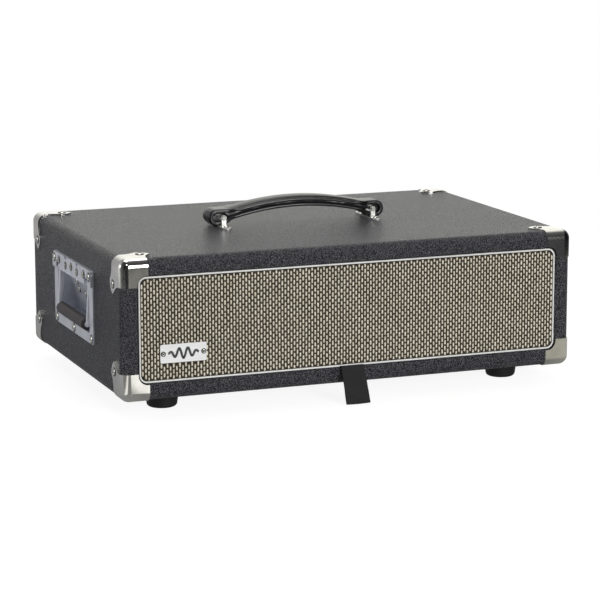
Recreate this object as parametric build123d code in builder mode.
"""A two-unit 19-inch rack case dressed as a guitar amplifier head.

Millimetres, +Z up, X across the front, -Y towards the front. The origin is on the floor under the
middle of the case. Front and rear covers are the same part, turned half a turn about Z.
"""

import os

from build123d import *

os.makedirs("parts", exist_ok=True)

# Case, over its vinyl covering
case_width = 525.0
case_depth = 357.0
case_height = 152.6
foot_height = 19.0
vinyl = 0.9
plywood = 17.0
edge_radius = 9.5
mouth_radius = 3.4
lining_depth = 15.0
finger_count = 15

# Worked out from them
case_middle = foot_height + case_height / 2
case_top = foot_height + case_height
opening_width = case_width - 2 * (plywood + 2 * vinyl)
opening_height = case_height - 2 * (plywood + 2 * vinyl)
bare_width = opening_width + 2 * vinyl
bare_height = opening_height + 2 * vinyl
panel_width = case_width - 2 * vinyl
panel_depth = case_depth - 2 * vinyl
panel_height = case_height - 2 * vinyl
finger = panel_depth / finger_count

# Rack rails, to the 19-inch rack standard: two units of 44.45 mm
unit_height = 44.45
rack_hole_x = 465.1 / 2
rack_hole_steps = (-15.875, 0.0, 15.875)
rack_hole_radius = 2.4
rail_setback = 24.0
rail_steel = 3.0
rail_flange = 19.2
rail_leg = 38.0
rail_screw_in = 45.0
rail_screw_steps = (-33.0, 0.0, 33.0)

# Cleats that the covers stop against, and the tape pads between
cleat_height = 12.9
cleat_front = 15.4
pad_thickness = 1.5
pad_width = 60.0
pad_height = 9.0
pad_x = 150.0
pad_z = 51.9

# Screws: head radius, head height, shank radius, length
small_screw = (3.6, 2.0, 1.5, 12.0)
big_screw = (4.6, 2.6, 2.1, 19.0)

# Pressed steel corners
corner_steel = 1.0
corner_reach = 30.0
corner_lip = 17.8
corner_notch = 10.5
corner_screw_along = 26.0
corner_screw_down = 29.0

# Rubber feet
foot_x = 202.5
foot_y = case_depth / 2 - 53.0
foot_top_radius = 19.0
foot_floor_radius = 16.0
washer = 1.0
foot_well_radius = 6.0
foot_well_depth = 10.0

# Strap handle
strap_width = 25.0
pad_part_width = 29.0
bracket_x = 91.0
bracket_steel = 1.5
loop_radius = 9.2
loop_shift = 1.0
loop_end = 106.0
loop_wall = 3.5
strap_rise = 25.4
strap_depth = 11.4
pin_radius = 1.8
pin_height = 10.5
ear_inner = 13.3
ear_width = 5.2
bracket_foot = 30.0
bracket_width = 9.5
bracket_screw_y = 22.8
core_width = 18.0
core_steel = 1.2

# Recessed side handles: "out" is measured from the vinyl, "up" from the plate's middle
handle_middle = case_middle + 7.0
plate_width = 154.0
plate_height = 82.0
plate_steel = 1.5
pan_half = 63.0
pan_top = 30.0
pan_bottom = -30.0
pan_top_depth = 7.5
pan_floor_depth = 22.5
pan_steel = 1.2
strip_low = 22.9
strip_rise = 2.2
strip_pocket = 1.0
hinge_out = -2.3
hinge_up = 26.0
rod_radius = 3.2
hinge_bore = 3.25
arm_y = 57.5
stub_end = 17.5
grip_out = 1.0
grip_up = -22.0
grip_radius = 6.8
grip_half = 51.5
spring_radius = 3.95
spring_bore = 3.35
spring_y = 35.0
spring_half = 9.0
lug_y = (21.2, 48.5)
lug_half = 1.7
lug_out = -3.2
lug_size = (10.8, 8.4)
notch_size = (11.4, 10.0)
slot_y = 23.0
slot_size = (12.0, 7.0)
slot_rise = 1.8
rivet_y = (-50.0, 0.0, 50.0)
rivet_radius = 3.4
rivet_head = 1.8
strip_fix_up = 33.5
flange_fix_up = -35.5
plate_fix_y = 69.5

# Covers: distances are measured back from the case's front face
cloth = 0.8
cloth_front = 1.5
rim_front = 3.1
board_back = 11.3
face_half_width = 240.7
face_half_height = 54.6
face_corner = 6.25
rim_half_width = 243.2
rim_half_height = 57.1
rim_corner = 7.0
turn_in = 15.0
piping_radius = 1.05
piping_half_width = 242.15
piping_half_height = 56.05
piping_corner = 7.5
piping_back = 2.0

# Pull tab
tab_x = -2.0
tab_width = 27.5
tab_root = 1.1
tab_floor = -57.2
tab_root_top = -30.0
tab_root_front = 0.6
tab_hinge_out = 0.5
tab_thickness = 1.5
tab_tip_out = 23.0
tab_tip_z = 1.0

# Badge
badge_x = -194.5
badge_z = 68.5 - case_middle
badge_width = 51.5
badge_height = 20.0
badge_steel = 1.2
badge_pin_x = 22.5
badge_pin_radius = 0.8

sides = (("left", -1), ("right", 1))
ends = (("front", -1), ("rear", 1))


# Planes and shared shapes ------------------------------------------------------------------


def end_plane(end, distance):
    """Looking out of the front (end = -1) or rear (end = 1), a distance inside that face."""
    origin = (0, end * (case_depth / 2 - distance), case_middle)
    return Plane(origin, x_dir=(-end, 0, 0), z_dir=(0, end, 0))


def side_plane(side, out):
    """Looking out of the left (side = -1) or right (side = 1), at the side handle's middle."""
    origin = (side * (case_width / 2 + out), 0, handle_middle)
    return Plane(origin, x_dir=(0, side, 0), z_dir=(side, 0, 0))


def section_plane(side, along):
    """Across a side handle: local x is out of the case and local y is up."""
    origin = (side * case_width / 2, along, handle_middle)
    return Plane(origin, x_dir=(side, 0, 0), z_dir=(0, -side, 0))


def rounded_block(growth):
    """The case's outer block, grown by this much on every face, with round edges."""
    size = (case_width, case_depth, case_height)
    with BuildPart(Plane.XY.offset(case_middle)) as block:
        Box(*[length + 2 * growth for length in size])
        fillet(block.edges(), edge_radius + growth)
    return block.part


def cased_block(growth, radius):
    """A rounded block with the opening cut from front to rear and its mouths rounded."""
    with BuildPart() as block:
        add(rounded_block(growth))
        with BuildSketch(end_plane(-1, case_depth / 2)):
            Rectangle(opening_width - 2 * growth, opening_height - 2 * growth)
        extrude(amount=case_depth, both=True, mode=Mode.SUBTRACT)
        faces = block.faces().filter_by(Axis.Y).sort_by(Axis.Y)
        mouths = faces[0].inner_wires()[0].edges() + faces[-1].inner_wires()[0].edges()
        fillet(mouths, radius)
    return block.part


def drill(places, radius, depth):
    """Drill round holes into the part being built, at planes that face out of the holes."""
    with Locations(*places):
        Cylinder(radius, 2 * depth, mode=Mode.SUBTRACT)


def domed_screw(head_radius, head_height, shank_radius, length):
    """A cross-recess screw: its origin is under the head and +Z is out of the hole."""
    with BuildPart() as screw:
        with BuildSketch(Plane.XZ):
            with BuildLine():
                Polyline((0, head_height), (0, -length), (shank_radius, shank_radius - length),
                         (shank_radius, 0), (head_radius, 0), (head_radius, 0.3 * head_height))
                TangentArc((0, head_height), (head_radius, 0.3 * head_height), tangent=(1, 0))
            make_face()
        revolve(axis=Axis.Z)
        with BuildSketch(Plane.XY.offset(head_height)):
            Rectangle(1.1 * head_radius, 0.2 * head_radius)
            Rectangle(0.2 * head_radius, 1.1 * head_radius)
        extrude(amount=-0.65 * head_height, mode=Mode.SUBTRACT)
    return screw.part


def save(piece, name):
    """Label a finished piece and write its file."""
    piece.part.label = name
    export_step(piece.part, f"parts/{name}.step")


def save_copies(solid, places, name):
    """Write one node that holds a copy of the solid at each place."""
    with BuildPart() as group:
        with Locations(*places):
            add(solid)
    save(group, name)


# Where the fasteners go: planes whose normals point out of the holes ----------------------


def corner_places(x_sign, y_sign, z_sign):
    """The two screws of one corner: one on the case's side, one on its top or bottom."""
    along = y_sign * (case_depth / 2 - corner_screw_along)
    side_x = x_sign * (case_width / 2 + corner_steel)
    side_z = case_middle + z_sign * (case_height / 2 - corner_screw_down)
    level_x = x_sign * (case_width / 2 - corner_screw_down)
    level_z = case_middle + z_sign * (case_height / 2 + corner_steel)
    return [Plane((side_x, along, side_z), z_dir=(x_sign, 0, 0)),
            Plane((level_x, along, level_z), z_dir=(0, 0, z_sign))]


def rail_places(side, end):
    """The screws of one rail, through its leg into the side panel."""
    x = side * (bare_width / 2 - rail_steel)
    y = end * (case_depth / 2 - rail_screw_in)
    return [Plane((x, y, case_middle + z), z_dir=(-side, 0, 0)) for z in rail_screw_steps]


def plate_places(side):
    """The screws of one side handle: two on its strip and three on its lower flange."""
    strip = side_plane(side, plate_steel + strip_rise)
    flange = side_plane(side, plate_steel)
    upper = [strip * Pos(y, strip_fix_up) for y in (-plate_fix_y, plate_fix_y)]
    lower = [flange * Pos(y, flange_fix_up) for y in (-plate_fix_y, 0, plate_fix_y)]
    return upper + lower


corner_signs = [(x, y, z) for x in (-1, 1) for y in (-1, 1) for z in (-1, 1)]
all_corner_places = [place for signs in corner_signs for place in corner_places(*signs)]
all_rail_places = [place for _, s in sides for _, e in ends for place in rail_places(s, e)]
all_plate_places = [place for _, s in sides for place in plate_places(s)]
bracket_places = [Plane((x, y, case_top + bracket_steel), z_dir=(0, 0, 1))
                  for x in (-bracket_x, bracket_x) for y in (-bracket_screw_y, bracket_screw_y)]
foot_spots = [(x, y) for x in (-foot_x, foot_x) for y in (-foot_y, foot_y)]
foot_places = [Plane((x, y, foot_well_depth - washer), z_dir=(0, 0, -1)) for x, y in foot_spots]


def drill_for_fasteners():
    """Drill every fastener's hole into the case piece being built."""
    drill(all_corner_places, small_screw[2], small_screw[3])
    drill(all_rail_places, small_screw[2], small_screw[3])
    drill(all_plate_places, small_screw[2], small_screw[3])
    drill(bracket_places, small_screw[2], small_screw[3])
    drill(foot_places, big_screw[2], big_screw[3])


def cut_handle_windows():
    """Cut the side handles' windows into the case piece being built."""
    for _, side in sides:
        with BuildSketch(side_plane(side, 5)) as window:
            with Locations((0, (pan_top + pan_bottom) / 2)):
                Rectangle(2 * (pan_half + 2 * pan_steel), pan_top - pan_bottom + 4 * pan_steel)
        extrude(window.sketch, amount=-30, mode=Mode.SUBTRACT)


# The plywood case and its covering ---------------------------------------------------------

with BuildPart() as plywood_case:
    add(cased_block(-vinyl, mouth_radius - vinyl))
    cut_handle_windows()
    drill_for_fasteners()


def joint_strips(first):
    """The middles of every other finger along Y, starting with this one."""
    return [(i - (finger_count - 1) / 2) * finger for i in range(first, finger_count, 2)]


for name, low in (("bottom_panel", foot_height + vinyl), ("top_panel", case_top - vinyl - plywood)):
    with BuildPart() as level_panel:
        add(plywood_case)
        with BuildSketch(Plane.XY.offset(low)):
            Rectangle(bare_width, panel_depth)
            with Locations(*[(0, y) for y in joint_strips(0)]):
                Rectangle(panel_width, finger)
        extrude(amount=plywood, mode=Mode.INTERSECT)
    save(level_panel, name)

for name, side in sides:
    with BuildPart() as side_panel:
        add(plywood_case)
        inner_face = Plane((side * bare_width / 2, 0, case_middle),
                           x_dir=(0, side, 0), z_dir=(side, 0, 0))
        with BuildSketch(inner_face):
            Rectangle(panel_depth, bare_height)
            with Locations(*[(y, 0) for y in joint_strips(1)]):
                Rectangle(finger, panel_height)
        extrude(amount=plywood, mode=Mode.INTERSECT)
    save(side_panel, f"{name}_side_panel")

with BuildPart() as vinyl_covering:
    add(cased_block(0, mouth_radius))
    add(cased_block(-vinyl, mouth_radius - vinyl), mode=Mode.SUBTRACT)
    with Locations((0, 0, case_middle)):
        Box(bare_width, case_depth - 2 * lining_depth, bare_height, mode=Mode.SUBTRACT)
    cut_handle_windows()
    drill(all_corner_places + all_plate_places + bracket_places, small_screw[2], 5)
    drill([Plane((x, y, foot_height), z_dir=(0, 0, -1)) for x, y in foot_spots], big_screw[2], 5)
save(vinyl_covering, "vinyl_covering")


# Cleats, rails and pads --------------------------------------------------------------------

for name, end in ends:
    with BuildPart() as cleats:
        with BuildSketch(end_plane(end, cleat_front)):
            with Locations((0, (bare_height - cleat_height) / 2), (0, (cleat_height - bare_height) / 2)):
                Rectangle(bare_width, cleat_height)
        extrude(amount=cleat_front - rail_setback)
    save(cleats, f"{name}_cleats")

    for side_name, side in sides:
        rail_bottom = Plane.XY.offset(case_middle - unit_height)
        with BuildPart() as rail:
            with BuildSketch(rail_bottom):
                with Locations((side * (bare_width - rail_flange) / 2,
                                end * (case_depth / 2 - rail_setback - rail_steel / 2))):
                    Rectangle(rail_flange, rail_steel)
                with Locations((side * (bare_width - rail_steel) / 2,
                                end * (case_depth / 2 - rail_setback - rail_leg / 2))):
                    Rectangle(rail_steel, rail_leg)
            extrude(amount=2 * unit_height)
            rack_holes = [end_plane(end, rail_setback) * Pos(x, unit + step)
                          for x in (-rack_hole_x, rack_hole_x)
                          for unit in (-unit_height / 2, unit_height / 2)
                          for step in rack_hole_steps]
            drill(rack_holes, rack_hole_radius, 2 * rail_steel)
            drill(rail_places(side, end), small_screw[2], 2 * rail_steel)
        save(rail, f"rack_rail_{name}_{side_name}")

save_copies(domed_screw(*small_screw), all_rail_places, "rail_screws")


def tape_pads(end, distance):
    """Four tape pads of one cover's fixing, whose outer faces are at this distance."""
    with BuildSketch(end_plane(end, distance)) as pad_faces:
        with GridLocations(2 * pad_x, 2 * pad_z, 2, 2):
            RectangleRounded(pad_width, pad_height, 2)
    extrude(pad_faces.sketch, amount=-pad_thickness)


with BuildPart() as case_pads:
    for _, end in ends:
        tape_pads(end, cleat_front - pad_thickness)
save(case_pads, "case_pads")


# Pressed steel corners ---------------------------------------------------------------------


def leg_outline():
    """One leg of a corner: local x runs back from the case's end, local y runs off its edge."""
    with BuildLine() as outline:
        Polyline((-2, corner_reach), (-2, -2), (corner_reach, -2), (29.5, 6))
        ThreePointArc((29.5, 6), (31.0, 17), (36.6, 25.5))
        ThreePointArc((36.6, 25.5), (33.6, 34.5), (27, 40))
        Polyline((27, 40), (16.5, 32.5), (10, corner_reach), (-2, corner_reach))
    make_face(outline.edges())


outer_corner = Vector(case_width / 2, case_depth / 2, case_top)
side_leg_plane = Plane(outer_corner + (2, 0, 0), x_dir=(0, -1, 0), z_dir=(1, 0, 0))
top_leg_plane = Plane(outer_corner + (0, 0, 2), x_dir=(0, -1, 0), z_dir=(0, 0, -1))
end_leg_plane = Plane(outer_corner + (0, 2, 0), x_dir=(-1, 0, 0), z_dir=(0, 1, 0))

with BuildPart() as leg_zone:
    with BuildSketch(side_leg_plane):
        leg_outline()
    extrude(amount=-2 - edge_radius)
    with BuildSketch(top_leg_plane):
        leg_outline()
    extrude(amount=2 + edge_radius)
    with BuildSketch(end_leg_plane):
        reach = corner_reach + 2
        with Locations((-2, 2)):
            Rectangle(reach, reach, align=(Align.MIN, Align.MAX))
        with Locations((corner_lip, -corner_lip)):
            RectangleRounded(2 * reach, 2 * reach, corner_notch, align=(Align.MIN, Align.MAX),
                             mode=Mode.SUBTRACT)
    extrude(amount=-2 - edge_radius)

with BuildPart() as corner_master:
    add(rounded_block(corner_steel))
    add(rounded_block(0), mode=Mode.SUBTRACT)
    add(leg_zone, mode=Mode.INTERSECT)
    drill(corner_places(1, 1, 1), small_screw[2], 5)

for side_name, x_sign in sides:
    for end_name, y_sign in ends:
        for level_name, z_sign in (("bottom", -1), ("top", 1)):
            corner_shape = corner_master.part
            for sign, mirror_plane in ((x_sign, Plane.YZ), (y_sign, Plane.XZ),
                                       (z_sign, Plane.XY.offset(case_middle))):
                if sign < 0:
                    corner_shape = corner_shape.mirror(mirror_plane)
            with BuildPart() as corner:
                add(corner_shape)
            save(corner, f"corner_{end_name}_{side_name}_{level_name}")

save_copies(domed_screw(*small_screw), all_corner_places, "corner_screws")


# Feet --------------------------------------------------------------------------------------

with BuildPart() as foot_master:
    with BuildSketch(Plane.XZ):
        with BuildLine():
            Polyline((big_screw[2], foot_height), (big_screw[2], foot_well_depth),
                     (foot_well_radius, foot_well_depth), (foot_well_radius, 0),
                     (foot_floor_radius - 3.5, 0))
            ThreePointArc((foot_floor_radius - 3.5, 0), (foot_floor_radius - 0.6, 1.2),
                          (foot_floor_radius + 0.8, 4.2))
            Polyline((foot_floor_radius + 0.8, 4.2), (foot_top_radius - 0.6, foot_height - 2.5),
                     (foot_top_radius, foot_height), (big_screw[2], foot_height))
        make_face()
    revolve(axis=Axis.Z)

for (x, y), name in zip(foot_spots, ("front_left", "rear_left", "front_right", "rear_right")):
    save_copies(foot_master.part, [(x, y, 0)], f"foot_{name}")

with BuildPart() as washer_master:
    with BuildSketch(Plane.XY.offset(foot_well_depth - washer)):
        Circle(foot_well_radius - 0.4)
        Circle(big_screw[2], mode=Mode.SUBTRACT)
    extrude(amount=washer)

save_copies(washer_master.part, [(x, y, 0) for x, y in foot_spots], "foot_washers")
save_copies(domed_screw(*big_screw), foot_places, "foot_screws")


# Strap handle ------------------------------------------------------------------------------

strap_bottom = case_top + bracket_steel
loop_z = strap_bottom + loop_radius
left_loop_x = -loop_end + loop_radius - loop_shift
right_loop_x = loop_end - loop_radius - loop_shift


def arch_line(overlap):
    """The strap's middle line between its loops, running into each by this overlap."""
    left = (left_loop_x + 13.0 - overlap, loop_z + 3.0)
    right = (right_loop_x - 13.0 + overlap, loop_z + 3.0)
    return ThreePointArc(left, (10.0, case_top + strap_rise), right)


def loop_outline(margin):
    """Both end loops, drawn this much inside their outer faces."""
    for x, inward in ((left_loop_x, 1), (right_loop_x, -1)):
        with Locations((x + inward * 5, loop_z)):
            SlotOverall(2 * (loop_radius - margin) + 10, 2 * (loop_radius - margin))


with BuildPart() as handle_core:
    with BuildSketch(Plane.XZ):
        with BuildLine():
            arch_line(3)
        trace(line_width=core_steel)
    extrude(amount=core_width / 2, both=True)

with BuildPart() as handle_strap:
    with BuildSketch(Plane.XZ):
        with BuildLine():
            arch_line(0)
        trace(line_width=strap_depth)
    extrude(amount=pad_part_width / 2, both=True)
    with BuildSketch(Plane.XZ):
        loop_outline(0)
    extrude(amount=strap_width / 2, both=True)
    with BuildSketch(Plane.XZ):
        loop_outline(loop_wall)
    extrude(amount=strap_width, both=True, mode=Mode.SUBTRACT)
    add(handle_core, mode=Mode.SUBTRACT)
save(handle_strap, "handle_strap")
save(handle_core, "handle_core")

pin_line = Plane((0, 0, case_top + pin_height), x_dir=(1, 0, 0), z_dir=(0, -1, 0))
for name, side in sides:
    with BuildPart() as bracket:
        with BuildSketch(Plane.XY.offset(case_top)):
            with Locations((side * bracket_x, 0)):
                SlotOverall(2 * bracket_foot, bracket_width, rotation=90)
        extrude(amount=bracket_steel)
        with BuildSketch(pin_line):
            with Locations((side * bracket_x, 0)):
                Circle(ear_width / 2 + 0.5)
            with Locations((side * bracket_x, -pin_height / 2)):
                Rectangle(ear_width, pin_height)
        extrude(amount=ear_inner + bracket_steel, both=True)
        with Locations((side * bracket_x, 0, case_top + bracket_steel)):
            Box(30, 2 * ear_inner, 30, align=(Align.CENTER, Align.CENTER, Align.MIN),
                mode=Mode.SUBTRACT)
        drill([pin_line * Pos(side * bracket_x, 0)], pin_radius, 40)
        drill(bracket_places, small_screw[2], 5)
    save(bracket, f"handle_bracket_{name}")

with BuildPart() as handle_pins:
    with BuildSketch(pin_line):
        with Locations((-bracket_x, 0), (bracket_x, 0)):
            Circle(pin_radius)
    extrude(amount=ear_inner + bracket_steel, both=True)
    for end in (-1, 1):
        head_plane = Plane((0, end * (ear_inner + bracket_steel), case_top + pin_height),
                           x_dir=(1, 0, 0), z_dir=(0, end, 0))
        with BuildSketch(head_plane):
            with Locations((-bracket_x, 0), (bracket_x, 0)):
                Circle(pin_radius + 1)
        extrude(amount=1.2, taper=25)
save(handle_pins, "handle_pins")

save_copies(domed_screw(*small_screw), bracket_places, "handle_screws")


# Recessed side handles ---------------------------------------------------------------------


def pan_outline(margin, front):
    """The pan's section: shallow at the top, deep at the bottom, grown by the margin."""
    with BuildLine() as outline:
        Polyline((front, pan_top + margin), (-pan_top_depth - margin, pan_top + margin),
                 (-pan_floor_depth - margin, pan_bottom + 4 - margin), (front, pan_bottom - margin),
                 close=True)
    make_face(outline.edges())


def hinge_path(side):
    """The bail's rod: in from one stub, down, along the grip, up and in to the other stub."""
    x_hinge = side * (case_width / 2 + hinge_out)
    x_grip = side * (case_width / 2 + grip_out)
    z_hinge = handle_middle + hinge_up
    z_grip = handle_middle + grip_up
    points = [(x_hinge, -stub_end, z_hinge), (x_hinge, -arm_y, z_hinge), (x_grip, -arm_y, z_grip),
              (x_grip, arm_y, z_grip), (x_hinge, arm_y, z_hinge), (x_hinge, stub_end, z_hinge)]
    return FilletPolyline(*points, radius=5)


for name, side in sides:
    with BuildPart() as pan:
        with BuildSketch(side_plane(side, 0)):
            RectangleRounded(plate_width, plate_height, 4)
        extrude(amount=plate_steel)
        with BuildSketch(section_plane(side, 0)):
            pan_outline(pan_steel, plate_steel)
        extrude(amount=pan_half + pan_steel, both=True)
        with BuildSketch(section_plane(side, 0)):
            pan_outline(0, plate_steel + 1)
        extrude(amount=pan_half, both=True, mode=Mode.SUBTRACT)
        for y in lug_y:
            for along in (-y, y):
                with BuildSketch(section_plane(side, along)):
                    with Locations((lug_out, hinge_up)):
                        Rectangle(*lug_size)
                extrude(amount=lug_half, both=True)
        drill([section_plane(side, 0) * Pos(hinge_out, hinge_up)], hinge_bore, arm_y)
        rivet_holes = [side_plane(side, 0) * Pos(y, strip_fix_up) for y in rivet_y]
        drill(rivet_holes, small_screw[2], 3)
        drill(plate_places(side), small_screw[2], 6)
    save(pan, f"side_handle_pan_{name}")

    with BuildPart() as strip:
        half = plate_width / 2
        top = plate_height / 2
        with BuildSketch(side_plane(side, plate_steel)):
            with BuildLine():
                Polyline((-half, strip_low), (-half, top - 6), (6 - half, top), (half - 6, top),
                         (half, top - 6), (half, strip_low), close=True)
            make_face()
        extrude(amount=strip_rise)
        with BuildSketch(side_plane(side, plate_steel)):
            with Locations((0, strip_low - 5)):
                Rectangle(plate_width - 4, top - strip_low + 3, align=(Align.CENTER, Align.MIN))
        extrude(amount=strip_pocket, mode=Mode.SUBTRACT)
        with BuildSketch(side_plane(side, plate_steel)):
            with Locations((-arm_y, hinge_up), (arm_y, hinge_up)):
                Rectangle(*notch_size)
            with Locations((-slot_y, top + slot_rise), (slot_y, top + slot_rise)):
                SlotOverall(*slot_size, rotation=90)
        extrude(amount=2 * strip_rise, mode=Mode.SUBTRACT)
        drill(rivet_holes, small_screw[2], 3 * strip_rise)
        drill(plate_places(side), small_screw[2], 6)
    save(strip, f"side_handle_strip_{name}")

    with BuildPart() as bail:
        with BuildLine():
            rod_line = hinge_path(side)
        with BuildSketch(Plane(rod_line @ 0, z_dir=rod_line % 0)):
            Circle(rod_radius)
        sweep(path=rod_line)
    save(bail, f"side_handle_bail_{name}")

    with BuildPart() as grip:
        with BuildSketch(section_plane(side, 0)):
            with Locations((grip_out, grip_up)):
                Circle(grip_radius)
                Circle(rod_radius, mode=Mode.SUBTRACT)
        extrude(amount=grip_half, both=True)
        rims = grip.edges().filter_by(GeomType.CIRCLE).sort_by(SortBy.RADIUS)[-2:]
        fillet(rims, 1.5)
    save(grip, f"side_handle_grip_{name}")

with BuildPart() as springs:
    for _, side in sides:
        for y in (-spring_y, spring_y):
            with BuildSketch(section_plane(side, y)):
                with Locations((hinge_out, hinge_up)):
                    Circle(spring_radius)
                    Circle(spring_bore, mode=Mode.SUBTRACT)
            extrude(amount=spring_half, both=True)
save(springs, "side_handle_springs")

with BuildPart() as rivet_master:
    Cylinder(small_screw[2], plate_steel + strip_rise,
             align=(Align.CENTER, Align.CENTER, Align.MAX))
    with BuildSketch(Plane.XZ):
        with BuildLine():
            Polyline((0, rivet_head), (0, 0), (rivet_radius, 0))
            TangentArc((0, rivet_head), (rivet_radius, 0), tangent=(1, 0))
        make_face()
    revolve(axis=Axis.Z)

rivet_places = [side_plane(side, plate_steel + strip_rise) * Pos(y, strip_fix_up)
                for _, side in sides for y in rivet_y]
save_copies(rivet_master.part, rivet_places, "side_handle_rivets")
save_copies(domed_screw(*small_screw), all_plate_places, "side_handle_screws")


# Covers ------------------------------------------------------------------------------------


def cover_shape(shrink, face, back):
    """The cover's solid: a raised face inside a wider rim that the piping sits on."""
    with BuildSketch(end_plane(end, face)) as face_sketch:
        RectangleRounded(2 * (face_half_width - shrink), 2 * (face_half_height - shrink), face_corner)
    extrude(face_sketch.sketch, amount=face - back)
    with BuildSketch(end_plane(end, rim_front + shrink)) as rim_sketch:
        RectangleRounded(2 * (rim_half_width - shrink), 2 * (rim_half_height - shrink), rim_corner)
    extrude(rim_sketch.sketch, amount=rim_front + shrink - back)


def cut_tab_notch():
    """Room for the pull tab's root, under the cover piece being built."""
    with BuildSketch(end_plane(end, -1)) as notch:
        with Locations((tab_x, tab_floor + tab_root)):
            Rectangle(tab_width + 0.4, 5, align=(Align.CENTER, Align.MAX))
    extrude(notch.sketch, amount=-20, mode=Mode.SUBTRACT)


def badge_pin_places(distance):
    """Where the badge's pins are, this far behind the case's front face."""
    return [end_plane(-1, distance) * Pos(badge_x + x, badge_z)
            for x in (-badge_pin_x, badge_pin_x)]


for name, end in ends:
    with BuildPart() as board:
        cover_shape(cloth, cloth_front + cloth, board_back)
        cut_tab_notch()
        if name == "front":
            drill(badge_pin_places(cloth_front), badge_pin_radius, 5)
    save(board, f"{name}_cover_board")

    with BuildPart() as grille:
        cover_shape(0, cloth_front, board_back + cloth)
        with BuildSketch(end_plane(end, board_back)):
            Rectangle(2 * (rim_half_width - turn_in), 2 * (rim_half_height - turn_in))
        extrude(amount=-2 * cloth, mode=Mode.SUBTRACT)
        cut_tab_notch()
        if name == "front":
            drill(badge_pin_places(cloth_front), badge_pin_radius, 5)
        add(board, mode=Mode.SUBTRACT)
    save(grille, f"{name}_grille_cloth")

    with BuildPart() as piping:
        with BuildLine(end_plane(end, piping_back)) as piping_line:
            FilletPolyline((-piping_half_width, piping_half_height),
                           (-piping_half_width, -piping_half_height),
                           (piping_half_width, -piping_half_height),
                           (piping_half_width, piping_half_height),
                           radius=piping_corner, close=True)
        with BuildSketch(Plane(piping_line.wire() @ 0, z_dir=piping_line.wire() % 0)):
            Circle(piping_radius)
        sweep(path=piping_line.wire())
        cut_tab_notch()
    save(piping, f"{name}_piping")

    with BuildPart() as pads:
        tape_pads(end, board_back + cloth)
    save(pads, f"{name}_cover_pads")

    with BuildPart() as root:
        with BuildSketch(end_plane(end, tab_root_front)):
            with Locations((tab_x, tab_floor)):
                Rectangle(tab_width, tab_root, align=(Align.CENTER, Align.MIN))
        extrude(amount=tab_root_front - board_back - cloth - tab_root)
        with BuildSketch(end_plane(end, board_back + cloth)):
            with Locations((tab_x, tab_floor)):
                Rectangle(tab_width, tab_root_top - tab_floor, align=(Align.CENTER, Align.MIN))
        extrude(amount=-tab_root)
    save(root, f"{name}_tab_root")

    with BuildPart() as tab:
        flap_side = Plane((-end * tab_x, end * case_depth / 2, 0),
                          x_dir=(0, end, 0), z_dir=(end, 0, 0))
        hinge_z = case_middle + tab_floor + tab_root / 2
        with BuildSketch(flap_side):
            with BuildLine():
                Line((tab_hinge_out, hinge_z), (tab_tip_out, tab_tip_z))
            trace(line_width=tab_thickness)
            with Locations((tab_hinge_out, hinge_z)):
                Circle(tab_thickness / 2)
        extrude(amount=tab_width / 2, both=True)
    save(tab, f"{name}_pull_tab")


# Badge -------------------------------------------------------------------------------------

with BuildPart() as badge:
    with BuildSketch(end_plane(-1, cloth_front)):
        with Locations((badge_x, badge_z)):
            RectangleRounded(badge_width, badge_height, 1.5)
    extrude(amount=badge_steel)
    drill(badge_pin_places(cloth_front), badge_pin_radius, 5)
save(badge, "badge_plate")

badge_pin = domed_screw(2.3, 0.9, badge_pin_radius, 4.0)
save_copies(badge_pin, badge_pin_places(cloth_front - badge_steel), "badge_pins")
